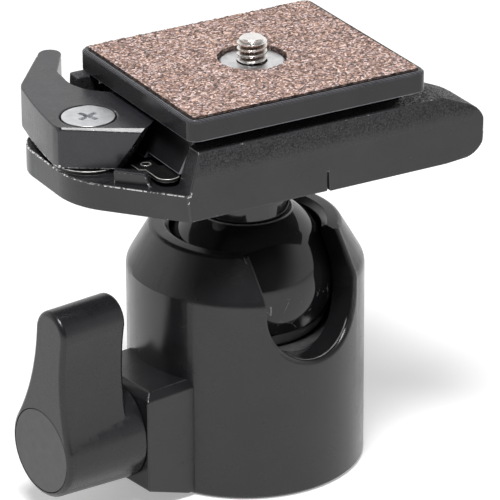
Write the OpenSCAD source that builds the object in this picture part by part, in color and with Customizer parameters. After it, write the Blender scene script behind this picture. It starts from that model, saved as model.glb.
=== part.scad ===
// Tripod ball head: single-knob ball clamp with a lever-lock quick-release plate.
// Millimetres, +Z up. The origin is the centre of the base face, on the axis of
// the tripod thread. The knob points along -X and the drop notch faces -Y.

/* [Housing] */
// Outer diameter of the housing
housing_d = 51; // [49:0.5:60]
// Height of the rim above the base face
housing_h = 54; // [53:0.5:58]
// Height of the sloped shoulder under the rim
shoulder_h = 9; // [6:0.5:11]
// Outer diameter of the rim
rim_d = 40.6; // [39:0.2:44]
// Diameter of the mouth that the neck comes out of
mouth_d = 32.4; // [30:0.2:34]
// Width of the drop notch
notch_w = 22.9; // [20:0.1:26]
// Height of the centre of the notch's round bottom
notch_z = 41.8; // [39:0.1:44]
// Chamfer round the mouth of the notch and the rim
lip = 1.2; // [0.4:0.1:1.5]
// Chamfer round the base edge
base_chamfer = 0.7; // [0.2:0.1:1.2]

/* [Ball] */
// Ball diameter
ball_d = 38; // [36:0.5:40]
// Height of the ball's centre above the base face
ball_z = 41; // [39:0.5:43]
// Height of the flat on top of the ball above its centre
ball_flat = 16; // [14:0.5:17]
// Neck diameter
neck_d = 18.8; // [14:0.2:19]

/* [Pressure cup] */
// Underside of the cup above the base face
cup_bottom = 8.6; // [8.3:0.1:9.5]
// Top edge of the cup above the base face
cup_top = 31; // [28:0.5:31]
// Thickness of the friction liner
liner_t = 1.2; // [0.8:0.1:1.6]
// Half angle that the liner covers, from straight down
liner_angle = 30; // [24:1:30]
// Travel of the cup when the knob is loosened
cup_travel = 0.2; // [0.1:0.05:0.3]

/* [Base] */
// Bore of the tripod thread, 3/8 inch
thread_d = 9.525; // [6.35,9.525]
// Depth of the tripod thread
thread_depth = 8; // [6:0.1:8]
// Diameter of the base plate
base_plate_d = 48; // [47:0.2:49]
// Thickness of the base plate's flange
base_plate_t = 3; // [2:0.1:4]
// Height of the plug that centres the base plate
base_plug_h = 2; // [1:0.1:2.2]
// Length of the base screws
base_screw_l = 8; // [6:0.5:12]

/* [Knob] */
// Height of the knob's axis above the base face
knob_z = 16; // [15:0.5:17]
// Distance of the boss face from the axis of the head
boss_x = 35; // [33:0.5:38]
// Width of the boss
boss_w = 23; // [20:0.5:26]
// Top of the boss above the base face
boss_top = 27; // [25:0.5:29]
// Lowest edge of the boss face above the base face
boss_low = 4.7; // [3:0.1:6]
// Length of the knob along its axis
knob_l = 19.1; // [18:0.1:22]
// Hub diameter at the outer end
hub_d = 20.8; // [20:0.2:24]
// Hub diameter at the boss
hub_root_d = 22.6; // [21:0.2:26]
// Reach of the wing from the knob's axis
wing_reach = 33.4; // [28:0.2:38]
// Thickness of the wing at its tip
wing_tip_d = 10.2; // [8:0.2:11]
// Radius of the wing's hollow flanks
wing_flank = 50; // [35:1:60]
// Length of the wing along the axis
wing_l = 16.2; // [12:0.2:18]
// Edge rounding of the knob
knob_round = 1.3; // [0.8:0.1:1.5]
// Angle by which the wing leans to the front
wing_lean = 8; // [-20:1:20]
// Diameter of the cap in the knob's end
cap_d = 18.3; // [17.6:0.1:18.4]
// Thickness of that cap
cap_t = 1.8; // [1.2:0.1:2.4]

/* [Spindle] */
// Thread diameter of the clamp spindle
spindle_d = 8; // [6:0.5:8]
// Diameter of the spindle's tip
tip_d = 3.2; // [2:0.2:4]
// Distance of the tip from the axis of the head
tip_x = 9; // [8:0.5:11]
// Length of the tapered tip
taper_l = 8; // [6:0.5:9]
// Outside diameter of the threaded bush in the boss
bush_d = 12; // [10:0.5:13]

/* [Clamp] */
// Turn of the clamp on the head, seen from above
head_yaw = -8.3; // [-30:0.1:30]
// Underside of the clamp above the base face
clamp_z = 68.5; // [67:0.5:71]
// Thickness of the clamp's shelf under the lever
shelf_t = 5.9; // [5:0.1:6.5]
// Height of the bed that the plate lies on, above the shelf
bed_step = 1.1; // [0.8:0.1:1.5]
// Height of the side walls above the underside
wall_h = 14.5; // [13:0.1:14.7]
// Width of the clamp over its walls
clamp_w = 50.4; // [49:0.2:54]
// Lean of the walls' outer faces
wall_lean = 5; // [0:0.5:6]
// Distance of the nose tip from the axis of the head
nose_x = 44.4; // [43:0.2:50]
// Radius of the nose seen from the side
nose_r = 6; // [5:0.1:6.2]
// Distance of the shelf's end from the axis of the head
shelf_x = 43.9; // [43:0.1:48]
// Distance of the fixed jaw's end face from the axis of the head
end_x = 33; // [32.5:0.1:36]

/* [Lever] */
// Position of the lever's pivot along the clamp
pivot_x = -36.1; // [-37:0.1:-35]
// Position of the lever's pivot across the clamp
pivot_y = 1.7; // [0:0.1:3]
// Thickness of the lever
lever_t = 9; // [8:0.1:9.2]
// Diameter of the pivot sleeve
sleeve_d = 8; // [7:0.2:9]
// Diameter of the pivot screw's head
pivot_head_d = 11.2; // [10:0.2:11.4]
// Diameter of the shim under the lever
shim_d = 15.5; // [15:0.5:18]
// Reach of the lever's jaw from the pivot
jaw_reach = 13.7; // [13:0.1:14.2]
// Distance of the lever's front face from the pivot
lever_face = 6.8; // [6.6:0.1:7.4]
// Bevel along the lever's front edge
lever_bevel = 0.8; // [0.3:0.1:1]

/* [Plate] */
// Length of the quick-release plate
plate_l = 56.4; // [54:0.2:57]
// Width of the plate
plate_w = 48.6; // [46:0.2:49.4]
// Thickness of the plate's flange
flange_t = 4.7; // [4:0.1:6]
// Corner radius of the plate
plate_corner = 2.2; // [1.6:0.1:5]
// Bevel round the top of the flange
flange_bevel = 0.6; // [0.2:0.1:1]
// Offset of the plate's centre along the clamp
plate_x = 1.9; // [1.6:0.1:2.2]
// Height of the dovetail block under the flange
block_h = 10; // [9.5:0.1:11]
// Width of the dovetail block
block_w = 38; // [34:0.5:40]
// Undercut of the dovetail
dovetail = 28; // [20:1:30]
// Height of the cork above the flange
cork_proud = 0.45; // [0.2:0.05:1]
// Depth of the cork's bed in the flange
cork_bed = 0.8; // [0.5:0.1:1.2]
// Margin of the flange round the cork
cork_margin = 1.2; // [0.8:0.1:2]
// Diameter of the hole in the cork
cork_hole_d = 14.5; // [13.8:0.1:18]

/* [Camera screw] */
// Thread diameter of the camera screw, 1/4 inch
screw_d = 6.35; // [6.35,9.525]
// Height of the screw above the flange
screw_h = 4.9; // [4:0.1:6.5]
// Diameter of the screw's head
screw_head_d = 15; // [14:0.2:17]
// Thickness of the head
screw_head_t = 4; // [3:0.1:4.5]
// Diameter of the steel disc round the screw
disc_d = 13.4; // [12:0.1:13.6]
// Thickness of that disc
disc_t = 1.2; // [0.8:0.1:1.6]

/* [Fits] */
// Radial clearance of shafts that turn or slide
slip = 0.05; // [0.02:0.01:0.08]
// Radial clearance of pieces that are pressed or screwed together
press = 0.02; // [0.01:0.01:0.03]
// Free gap between pieces that must not touch
gap = 0.3; // [0.2:0.05:0.4]

/* [Hidden] */
$fn = 96;

tiny = 0.01;                      // overshoot of cuts
far = 200;                        // size of half-space cutters

housing_r = housing_d / 2;
ball_r = ball_d / 2;
socket_r = ball_r + gap;
notch_r = notch_w / 2;
lip_steps = 5;
shoulder_z = housing_h - shoulder_h;

seat_r = socket_r + liner_t + gap;                 // recess that the liner lies in
liner_hole = 8;                                    // half angle of the liner's hole
liner_swing = 20;                                  // room for the liner to tilt
recess_z = ball_z - seat_r * cos(liner_angle + liner_swing + 3);
cup_r = socket_r - slip;

base_plate_r = base_plate_d / 2;
base_bush_d = thread_d + 4.6;
base_boss_d = base_bush_d + 4;
base_land = base_plate_r - socket_r;               // ledge between the bore and the plate's edge
base_screw_r = socket_r + base_land / 2;
base_screw_d = 0.53 * base_land;
base_screw_head_d = 0.9 * base_land;
base_screw_head_h = base_screw_head_d / 3.2;
base_screw_recess_w = base_screw_d / 2;
base_screw_recess_h = 0.6 * base_screw_head_h;
base_screw_spare = 1;                              // depth of the hole past the screw
base_screw_angles = [0, 120, 240];
spring_seat = base_plate_t + base_plug_h;
spring_in = base_boss_d / 2 + 1.5;
spring_out = cup_r - 2;
spring_t = 0.5;
spring_waves = 3;

spindle_r = spindle_d / 2;
boss_chamfer = 1.6;
boss_root_z = 1;                                   // underside where it meets the housing
washer_t = 0.8;
washer_d = 16;
hub_x = boss_x + gap;                              // inner face of the knob
knob_end = boss_x + gap + knob_l;                  // outer face of the knob
washer_x = boss_x + slip;
insert_d = 13;
insert_x = washer_x + washer_t + slip;
insert_l = 11;
nut_t = 4;
nut_d = 14.8;
nut_pocket_d = 16;
nut_x = insert_x + insert_l;
spindle_end = nut_x + nut_t + 0.4;
cap_groove = 0.15;                                 // radial gap round the cap
hub_rim = 0.2;                                     // the hub's cone stops this far inside the rounding

stem_d = 8;
stem_head_d = 12.8;
stem_head_h = 8;
stem_key_d = 6.9;
stem_key_h = 4;
stem_head_z = ball_z + 3;                          // underside of the stem screw's head
stem_top = clamp_z + shelf_t + bed_step - gap;

shelf_z = clamp_z + shelf_t;
bed_z = shelf_z + bed_step;
wall_top = clamp_z + wall_h;
flange_z = bed_z + block_h;                        // underside of the plate's flange
plate_top = flange_z + flange_t;
cork_top = plate_top + cork_proud;
block_drop = block_h * tan(dovetail);              // how far the dovetail spreads

shim_t = 0.9;
lever_lift = 0.2;                                  // running gap under the lever
lever_z = shelf_z + shim_t + lever_lift;
lever_top = lever_z + lever_t;
pivot_head_t = 1.6;
pivot_screw_d = 5;
pivot_floor = 1;                                   // what is left under the pivot screw's hole
pivot_cross_l = 5;
pivot_cross_w = 1.1;
pivot_cross_h = 1.1;
head_gap = 0.25;                                   // radial gap round the pivot screw's head
sleeve_top = lever_top - pivot_head_t - slip;
face_angle = -122.6;                               // direction of the lever's front face
face_l = 5.6;                                      // length of that face left of the pivot
back_x = 2.8;                                      // centre and radius of the lever's elbow
back_y = 18.4;
back_r = 8;
back_side_r = 150;                                 // radius of the back below the elbow
back_turn = 166;                                   // where the elbow runs into that back
finger_x = 9.3;                                    // centre and radius of the finger's end
finger_y = 35.2;
finger_r = 2.5;
hollow_x = 16.3;                                   // hollow between the jaw and the finger
hollow_y = 18.8;
hollow_r = 11;
hook_x = 6.1;                                      // inner corner at the finger's root
hook_y = 25.4;
blank_spare = 1;                                   // how far the jaw is cut from beyond its reach
jaw_side = 9.8;                                    // where the round jaw ends, across the clamp
jaw_low = jaw_reach - lever_t * tan(dovetail);     // the jaw's reach at the lever's underside
block_left = pivot_x + jaw_reach + gap / cos(dovetail) + (flange_z - lever_top) * tan(dovetail);
block_l = 2 * (plate_x - block_left);              // length of the block just under the flange
spring_wire = 0.7;
spring_coil_r = sleeve_d / 2 + 0.9;
spring_pocket_d = sleeve_d + 3.6;
spring_pocket_h = 4;

groove_x = 5.4;                                    // index groove in the front wall
groove_w = 0.5;
groove_h = 4.2;
groove_deep = 0.8;
shelf_back_r = 10.5;                               // round corners of the shelf's end
shelf_back_y = 12.6;
shelf_front_r = 17;
shelf_front_y = 0.7;
stop_x = -37.2;                                    // stop on the shelf
stop_y = -10.9;
stop_angle = -46;
stop_l = 6.8;
stop_slope = 1.2;                                  // run of its sloped end
stop_w = 2;
stop_h = 2.7;
post_x = -28.9;                                    // post at the end of the back wall
post_l = 5;
post_w = 5;
post_inset = 0.3;

trip_x = -13;
trip_y = 0;
trip_d = 4;
trip_flange_d = 6;
trip_flange_t = 0.8;
trip_lift = 1;                                     // how far the pin rises when the plate is off
trip_coil_r = 2.2;
trip_wire = 0.4;
trip_plug_t = 0.8;
trip_plug_d = 8;
trip_floor = clamp_z + trip_plug_t;
trip_spring_h = 1.6;
trip_pocket_h = trip_spring_h + trip_flange_t + trip_lift;

screw_x = plate_x;
screw_tip = 0.8;                                   // chamfer on the screw's end
screw_neck_d = 5.1;                                // relieved neck that keeps the screw in the plate
screw_neck_gap = 0.1;                              // how far the neck reaches above the cork
screw_slot_w = 1.8;
screw_slot_h = 1.6;
screw_play = 0.2;                                  // free travel of the screw in its pocket
clip_t = 0.8;
clip_z = bed_z + 0.4;
clip_ledge = 1;                                    // how far the snap ring reaches under the head
clip_mouth = 3;
head_pocket_d = screw_head_d + 2;
clip_d = head_pocket_d + 1.2;
head_z = clip_z + clip_t + screw_play;
head_pocket_h = head_z + screw_head_t + screw_play - bed_z;
disc_z = plate_top - disc_t - 0.4;
bevel_steps = 3;

catch_w = 5.4;
catch_t = 0.8;
catch_x = -27.6;
catch_y = -16.4;
catch_foot_y = -5.6;
catch_bend = 9.4;                                  // where the strip bends up, towards the front
catch_ramp = 2.8;
catch_rise = 1.9;
catch_rivet_d = 2;
catch_rivet_y = catch_foot_y - 1.6;
catch_rivet_z = 2;

// A point on a circle
function on_arc(c, r, a) = [c[0] + r * cos(a), c[1] + r * sin(a)];

// Points along an arc, ends included
function arc(c, r, a0, a1, n) = [for (i = [0:n]) on_arc(c, r, a0 + (a1 - a0) * i / n)];

// Centre of a flank circle that is tangent to the hub and to the wing's tip
function flank_y() =
  let (reach = wing_reach - wing_tip_d / 2)
  (reach * reach + pow(hub_d / 2 + wing_flank, 2) - pow(wing_tip_d / 2 + wing_flank, 2)) / (2 * reach);
function flank_x() = sqrt(pow(hub_d / 2 + wing_flank, 2) - pow(flank_y(), 2));

// Turns children from +Z to the knob's direction, with local +Z pointing outwards
module on_knob_axis() {
  translate([0, 0, knob_z]) rotate([0, -90, 0]) children();
}

// Turns children with the clamp
module on_clamp() {
  rotate([0, 0, head_yaw]) children();
}

module at_pivot() {
  on_clamp() translate([pivot_x, pivot_y, 0]) children();
}

module at_screw() {
  on_clamp() translate([screw_x, 0, 0]) children();
}

module at_trip() {
  on_clamp() translate([trip_x, trip_y, 0]) children();
}

module ring(d_out, d_in, h) {
  difference() {
    cylinder(d = d_out, h = h);
    translate([0, 0, -tiny]) cylinder(d = d_in, h = h + 2 * tiny);
  }
}

// Coil spring standing on z = 0, as one swept tube
module coil(r, wire, h, turns) {
  sides = 8;
  steps = 20 * turns;
  pitch = (h - wire) / turns;
  function coil_point(i, k) =
    let (a = 360 * i / 20, b = 360 * k / sides, q = r + wire / 2 * cos(b))
    [q * cos(a), q * sin(a), wire / 2 + pitch * i / 20 + wire / 2 * sin(b)];
  points = [for (i = [0:steps]) for (k = [0:sides - 1]) coil_point(i, k)];
  skin = [
    for (i = [0:steps - 1]) for (k = [0:sides - 1])
      let (n = (k + 1) % sides)
      [i * sides + k, (i + 1) * sides + k, (i + 1) * sides + n, i * sides + n]
  ];
  first_end = [for (k = [0:sides - 1]) k];
  last_end = [for (k = [sides - 1:-1:0]) steps * sides + k];
  polyhedron(points = points, faces = concat(skin, [first_end, last_end]));
}

// ---------------------------------------------------------------- housing

// Half section of the housing's outside, with its side walls moved in by an inset
module housing_profile(inset = 0) {
  polygon([
    [0, 0],
    [housing_r - base_chamfer - inset, 0],
    [housing_r - inset, base_chamfer],
    [housing_r - inset, shoulder_z],
    [rim_d / 2 - inset, housing_h],
    [0, housing_h]
  ]);
}

// Boss that carries the knob, as a side profile across its width
module knob_boss() {
  x0 = -boss_x;
  translate([0, boss_w / 2, 0]) rotate([90, 0, 0])
    linear_extrude(boss_w)
      polygon([
        [0, boss_root_z],
        [-housing_r + 1, boss_root_z],
        [x0, boss_low],
        [x0, boss_top - boss_chamfer],
        [x0 + boss_chamfer, boss_top],
        [0, boss_top]
      ]);
}

// Long chamfers on the boss's top edges
module boss_edge_cuts() {
  for (side = [-1, 1])
    translate([0, side * boss_w / 2, boss_top])
      rotate([45, 0, 0])
        cube([2 * far, boss_chamfer * sqrt(2), boss_chamfer * sqrt(2)], center = true);
}

// Drop notch, open at the rim, with a lip that follows the housing's surface
module notch_cut() {
  module slot(r) {
    translate([0, 0, notch_z]) rotate([90, 0, 0])
      linear_extrude(far) {
        circle(r = r);
        translate([-r, 0]) square([2 * r, far]);
      }
  }
  slot(notch_r);
  for (i = [0:lip_steps - 1])
    difference() {
      slot(notch_r + lip * (1 - cos(90 * (i + 1) / (lip_steps + 1))));
      rotate_extrude() housing_profile(lip * (1 - sin(90 * (i + 1) / (lip_steps + 1))));
    }
}

// Inside of the housing, from the base plate's seat to the mouth
module housing_bore() {
  translate([0, 0, -tiny]) cylinder(r = base_plate_r + press, h = base_plate_t + 2 * tiny);
  translate([0, 0, -tiny]) cylinder(r = socket_r, h = ball_z + tiny);
  translate([0, 0, ball_z]) sphere(r = socket_r);
  cylinder(d = mouth_d, h = housing_h + tiny);
  translate([0, 0, housing_h - lip])
    cylinder(d1 = mouth_d, d2 = mouth_d + 2 * lip + 2 * tiny, h = lip + tiny);
}

module housing() {
  color([0.20, 0.20, 0.21])
    difference() {
      union() {
        rotate_extrude() housing_profile();
        difference() {
          knob_boss();
          boss_edge_cuts();
        }
      }
      housing_bore();
      notch_cut();
      on_knob_axis() cylinder(d = bush_d + 2 * press, h = far);
      for (a = base_screw_angles)
        rotate([0, 0, a]) translate([base_screw_r, 0, 0])
          cylinder(d = base_screw_d + 2 * press, h = base_screw_l + base_screw_spare);
    }
}

module base_screw_cut() {
  translate([0, 0, -tiny]) cylinder(d = base_screw_d + 2 * press, h = far);
  translate([0, 0, -press])
    cylinder(d1 = base_screw_head_d + 2 * press, d2 = base_screw_d + 2 * press,
             h = base_screw_head_h + 2 * press);
}

module base_plate() {
  color([0.24, 0.24, 0.25])
    difference() {
      union() {
        cylinder(r = base_plate_r, h = base_plate_t);
        cylinder(r = socket_r - press, h = spring_seat);
        cylinder(d = base_boss_d, h = thread_depth);
      }
      translate([0, 0, -tiny]) cylinder(d = base_bush_d + 2 * press, h = far);
      for (a = base_screw_angles)
        rotate([0, 0, a]) translate([base_screw_r, 0, 0]) base_screw_cut();
    }
}

module thread_bush() {
  slot_w = 1.6;
  slot_h = 1.2;
  color("goldenrod")
    difference() {
      ring(base_bush_d, thread_d, thread_depth);
      translate([0, 0, slot_h / 2 - tiny])
        cube([base_bush_d + 1, slot_w, slot_h + 2 * tiny], center = true);
    }
}

module base_screws() {
  color("silver")
    for (a = base_screw_angles)
      rotate([0, 0, a]) translate([base_screw_r, 0, 0])
        difference() {
          union() {
            cylinder(d1 = base_screw_head_d, d2 = base_screw_d, h = base_screw_head_h);
            cylinder(d = base_screw_d, h = base_screw_l);
          }
          translate([0, 0, -tiny])
            cylinder(d = base_screw_recess_w, h = base_screw_recess_h + tiny, $fn = 6);
        }
}

// Wave washer that lifts the cup off the base plate
module cup_spring() {
  steps = 72;
  crest = cup_bottom - cup_travel - slip - spring_seat - spring_t;
  function wave_z(i) = spring_seat + crest / 2 * (1 - cos(360 * spring_waves * i / steps));
  function wave_point(i, k) =
    let (a = 360 * i / steps, r = k == 0 || k == 3 ? spring_in : spring_out)
    [r * cos(a), r * sin(a), wave_z(i) + (k < 2 ? 0 : spring_t)];
  points = [for (i = [0:steps - 1]) for (k = [0:3]) wave_point(i, k)];
  faces = [
    for (i = [0:steps - 1]) for (k = [0:3])
      let (j = (i + 1) % steps, n = (k + 1) % 4)
      [i * 4 + k, i * 4 + n, j * 4 + n, j * 4 + k]
  ];
  color("silver") polyhedron(points = points, faces = faces);
}

module pressure_cup() {
  color([0.75, 0.72, 0.66])
    difference() {
      translate([0, 0, cup_bottom]) cylinder(r = cup_r, h = cup_top - cup_bottom);
      translate([0, 0, ball_z]) sphere(r = socket_r);
      intersection() {
        translate([0, 0, ball_z]) sphere(r = seat_r);
        cylinder(r = far, h = recess_z);
      }
      on_knob_axis() {
        translate([0, 0, tip_x + taper_l - tiny])
          cylinder(r = spindle_r + gap + slip, h = far);
        translate([0, 0, tip_x - gap])
          cylinder(r1 = tip_d / 2 + gap, r2 = spindle_r + gap + slip, h = taper_l + gap);
      }
    }
}

// Floating friction liner, a ring cut from a spherical shell
module cup_liner() {
  color("ivory")
    translate([0, 0, ball_z])
      rotate_extrude()
        polygon(concat(
          arc([0, 0], socket_r + liner_t, -90 + liner_hole, -90 + liner_angle, 12),
          arc([0, 0], socket_r, -90 + liner_angle, -90 + liner_hole, 12)
        ));
}

// ---------------------------------------------------------------- knob

module boss_bush() {
  color("goldenrod")
    on_knob_axis() translate([0, 0, socket_r + gap])
      ring(bush_d, spindle_d + 2 * slip, boss_x - socket_r - 2 * gap);
}

module knob_washer() {
  color("white")
    on_knob_axis() translate([0, 0, washer_x])
      ring(washer_d, spindle_d + 2 * slip, washer_t);
}

module clamp_spindle() {
  color("silver")
    on_knob_axis() {
      translate([0, 0, tip_x]) cylinder(d1 = tip_d, d2 = spindle_d, h = taper_l);
      translate([0, 0, tip_x + taper_l])
        cylinder(d = spindle_d, h = spindle_end - tip_x - taper_l);
    }
}

module knob_insert() {
  color("goldenrod")
    on_knob_axis() translate([0, 0, insert_x])
      ring(insert_d, spindle_d + 2 * press, insert_l);
}

module knob_nut() {
  color("silver")
    on_knob_axis() translate([0, 0, nut_x])
      difference() {
        cylinder(d = nut_d, h = nut_t, $fn = 6);
        translate([0, 0, -tiny]) cylinder(d = spindle_d + 2 * press, h = nut_t + 2 * tiny);
      }
}

// Outline of hub and wing, grown or shrunk by a margin
module wing_outline(margin) {
  x = flank_x();
  y = flank_y();
  tip = wing_reach - wing_tip_d / 2;
  circle(d = hub_d + 2 * margin);
  translate([0, tip]) circle(d = wing_tip_d + 2 * margin);
  difference() {
    polygon([[0, 0], [x, y], [0, tip], [-x, y]]);
    for (side = [-1, 1])
      translate([side * x, y]) circle(r = wing_flank - margin, $fn = 240);
  }
}

module knob_body() {
  color([0.27, 0.27, 0.28])
    on_knob_axis()
      difference() {
        union() {
          rotate([0, 0, -90 - wing_lean])
            minkowski() {
              translate([0, 0, knob_end - wing_l + knob_round])
                linear_extrude(wing_l - 2 * knob_round) wing_outline(-knob_round, $fn = 64);
              sphere(r = knob_round, $fn = 24);
            }
          translate([0, 0, hub_x])
            cylinder(d1 = hub_root_d, d2 = hub_d, h = knob_l - knob_round - hub_rim);
        }
        translate([0, 0, hub_x - tiny])
          cylinder(d = washer_d + 2 * gap, h = insert_x - hub_x + tiny);
        cylinder(d = insert_d + 2 * press, h = nut_x);
        translate([0, 0, nut_x - tiny]) cylinder(d = nut_pocket_d, h = far);
        translate([0, 0, knob_end - cap_t]) cylinder(d = cap_d + 2 * cap_groove, h = far);
      }
}

module knob_cap() {
  color([0.38, 0.38, 0.39])
    on_knob_axis() translate([0, 0, knob_end - cap_t]) cylinder(d = cap_d, h = cap_t);
}

// ---------------------------------------------------------------- ball and stem

module ball() {
  color([0.10, 0.10, 0.11])
    difference() {
      translate([0, 0, ball_z]) sphere(r = ball_r, $fn = 128);
      translate([0, 0, ball_z + ball_flat]) cylinder(r = far, h = far);
      cylinder(d = stem_d + 2 * slip, h = far);
      cylinder(d = stem_head_d + 2 * gap, h = stem_head_z);
    }
}

module neck() {
  foot = ball_z + ball_flat;
  color([0.22, 0.22, 0.23])
    difference() {
      translate([0, 0, foot]) cylinder(d = neck_d, h = clamp_z - foot);
      cylinder(d = stem_d + 2 * press, h = far);
    }
}

module stem_screw() {
  color("dimgray")
    difference() {
      union() {
        translate([0, 0, stem_head_z - stem_head_h]) cylinder(d = stem_head_d, h = stem_head_h);
        translate([0, 0, stem_head_z]) cylinder(d = stem_d, h = stem_top - stem_head_z);
      }
      translate([0, 0, stem_head_z - stem_head_h - tiny])
        cylinder(d = stem_key_d, h = stem_key_h + tiny, $fn = 6);
    }
}

// ---------------------------------------------------------------- clamp

// Plan of the clamp body: round shelf end on the left, pointed nose on the right
module clamp_plan() {
  w = clamp_w / 2;
  polygon(concat(
    [[-27, -w], [nose_x - 3, -w]],
    arc([nose_x - 2, -w + 2], 2, -90, 0, 6),
    arc([nose_x - 5.4, -w + 10.4], 2.4, 15, 90, 5),
    [[end_x, -w + 13.3]],
    arc([end_x - 3, w - 3], 3, 0, 90, 6),
    [[-30, w]],
    arc([-shelf_x + shelf_back_r, shelf_back_y], shelf_back_r, 110, 180, 8),
    arc([-shelf_x + shelf_front_r, shelf_front_y], shelf_front_r, 180, 220.9, 8)
  ));
}

// Side view of the clamp body: low shelf, wall, sloped nose with a round end
module clamp_side() {
  z0 = clamp_z;
  slope = 22;
  nose = [nose_x - nose_r, z0 + nose_r + 0.3];
  top = on_arc(nose, nose_r, 90 - slope);
  polygon(concat(
    [[-shelf_x, z0], [nose[0] - 4, z0]],
    arc(nose, nose_r, -90, 90 - slope, 16),
    [[top[0] - (wall_top - top[1]) / tan(slope), wall_top]],
    [[-24.1, wall_top], [-26.8, shelf_z], [-shelf_x, shelf_z]]
  ));
}

// Dovetail channel between the walls, down to the bed, undercut at the fixed jaw
module clamp_channel() {
  right = block_left + block_l + press / cos(dovetail);
  translate([0, block_w / 2 + gap, 0]) rotate([90, 0, 0])
    linear_extrude(block_w + 2 * gap)
      polygon([
        [-far, bed_z],
        [right + block_drop, bed_z],
        [right, flange_z],
        [right - tan(dovetail), flange_z + far],
        [-far, flange_z + far]
      ]);
  translate([-far - 24, -block_w / 2 - gap, shelf_z])
    cube([far, block_w + 2 * gap, far]);
}

module wall_lean_cuts() {
  for (side = [-1, 1])
    translate([-far, side * clamp_w / 2, clamp_z])
      rotate([side * wall_lean, 0, 0])
        translate([0, side > 0 ? 0 : -far, -far]) cube([2 * far, far, 2 * far]);
}

// Raised stop on the shelf, beside the front edge
module shelf_stop() {
  translate([stop_x, stop_y, shelf_z - tiny]) rotate([0, 0, stop_angle])
    translate([0, stop_w, 0]) rotate([90, 0, 0]) linear_extrude(stop_w)
      polygon([[0, 0], [stop_l + stop_slope, 0], [stop_l, stop_h + tiny], [0, stop_h + tiny]]);
}

// Post at the left end of the back wall, just under the flange
module back_post() {
  translate([post_x, clamp_w / 2 - post_w - post_inset, shelf_z - tiny])
    cube([post_l, post_w, flange_z - gap - shelf_z]);
}

module clamp_body() {
  color([0.21, 0.21, 0.22])
    on_clamp()
      difference() {
        union() {
          difference() {
            intersection() {
              translate([0, 0, clamp_z]) linear_extrude(wall_h) clamp_plan();
              translate([0, far, 0]) rotate([90, 0, 0]) linear_extrude(2 * far) clamp_side();
            }
            clamp_channel();
          }
          shelf_stop();
          back_post();
        }
        wall_lean_cuts();
        cylinder(d = stem_d + 2 * press, h = far);
        translate([groove_x, -clamp_w / 2 - groove_deep, clamp_z - tiny])
          cube([groove_w, 2 * groove_deep, groove_h + tiny]);
        translate([pivot_x, pivot_y, clamp_z + pivot_floor])
          cylinder(d = pivot_screw_d + 2 * press, h = far);
        translate([trip_x, trip_y, clamp_z - tiny]) {
          cylinder(d = trip_plug_d + 2 * press, h = trip_plug_t + tiny);
          cylinder(d = trip_flange_d + 2 * slip, h = trip_plug_t + trip_pocket_h);
          cylinder(d = trip_d + 2 * slip, h = far);
        }
        translate([catch_x, catch_rivet_y, clamp_z + catch_rivet_z])
          cylinder(d = catch_rivet_d + 2 * press, h = far);
      }
}

module trip_plug() {
  color("silver") at_trip() translate([0, 0, clamp_z]) cylinder(d = trip_plug_d, h = trip_plug_t);
}

module trip_pin() {
  color("silver")
    at_trip() {
      top = bed_z - slip;
      shoulder = trip_floor + trip_spring_h;
      translate([0, 0, shoulder]) cylinder(d = trip_d, h = top - shoulder);
      translate([0, 0, shoulder]) cylinder(d = trip_flange_d, h = trip_flange_t);
    }
}

module trip_spring() {
  color("silver")
    at_trip() translate([0, 0, trip_floor]) coil(trip_coil_r, trip_wire, trip_spring_h, 2);
}

// ---------------------------------------------------------------- lever

module lever_pivot() {
  color("silver")
    at_pivot() translate([0, 0, shelf_z])
      ring(sleeve_d, pivot_screw_d + 2 * press, sleeve_top - shelf_z);
}

module lever_shim() {
  color("silver")
    at_pivot() translate([0, 0, shelf_z]) ring(shim_d, sleeve_d + 2 * press, shim_t);
}

module lever_spring() {
  color("silver")
    at_pivot() translate([0, 0, shelf_z + shim_t + tiny])
      coil(spring_coil_r, spring_wire, spring_pocket_h - gap, 3);
}

module lever_screw() {
  pivot_screw_z = clamp_z + pivot_floor + gap;
  color("gainsboro")
    at_pivot()
      difference() {
        union() {
          translate([0, 0, pivot_screw_z])
            cylinder(d = pivot_screw_d, h = sleeve_top - pivot_screw_z);
          translate([0, 0, sleeve_top]) cylinder(d = pivot_head_d, h = lever_top - sleeve_top);
        }
        translate([0, 0, lever_top])
          for (a = [20, 110])
            rotate([0, 0, a]) cube([pivot_cross_l, pivot_cross_w, 2 * pivot_cross_h], center = true);
      }
}

// Outline of the lever about its pivot: front face, jaw, hook, finger and back
module lever_plan() {
  blank_r = jaw_reach + blank_spare;
  half = acos(lever_face / blank_r);
  foot = pivot_face(face_l);
  side = on_arc([back_x, back_y], back_r - back_side_r, back_turn);
  polygon(concat(
    arc([0, 0], blank_r, face_angle + half, 48, 10),
    arc([hollow_x, hollow_y], hollow_r, 230, 166, 8),
    [[hook_x, hook_y]],
    arc([finger_x, finger_y], finger_r, -32, 133, 9),
    arc([back_x, back_y], back_r, 142, back_turn, 5),
    arc(side, back_side_r, back_turn, 174, 3),
    [foot]
  ));
}

// A point on the lever's front face, by its distance to the left of the pivot
function pivot_face(left) =
  on_arc(on_arc([0, 0], lever_face, face_angle), left, face_angle - 90);

// What the sloping jaw leaves free: all outside a cone about the pivot, and all
// beyond a plane along the dovetail
module jaw_cut() {
  module room() {
    polygon([
      [jaw_low, lever_z], [jaw_reach, lever_top], [jaw_reach, lever_top + 1],
      [far, lever_top + 1], [far, lever_z - 1], [jaw_low, lever_z - 1]
    ]);
  }
  rotate([0, 0, -120]) rotate_extrude(angle = 168) room();
  translate([0, block_w / 2 + gap, 0]) rotate([90, 0, 0])
    linear_extrude(block_w / 2 + gap - jaw_side) room();
}

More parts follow.
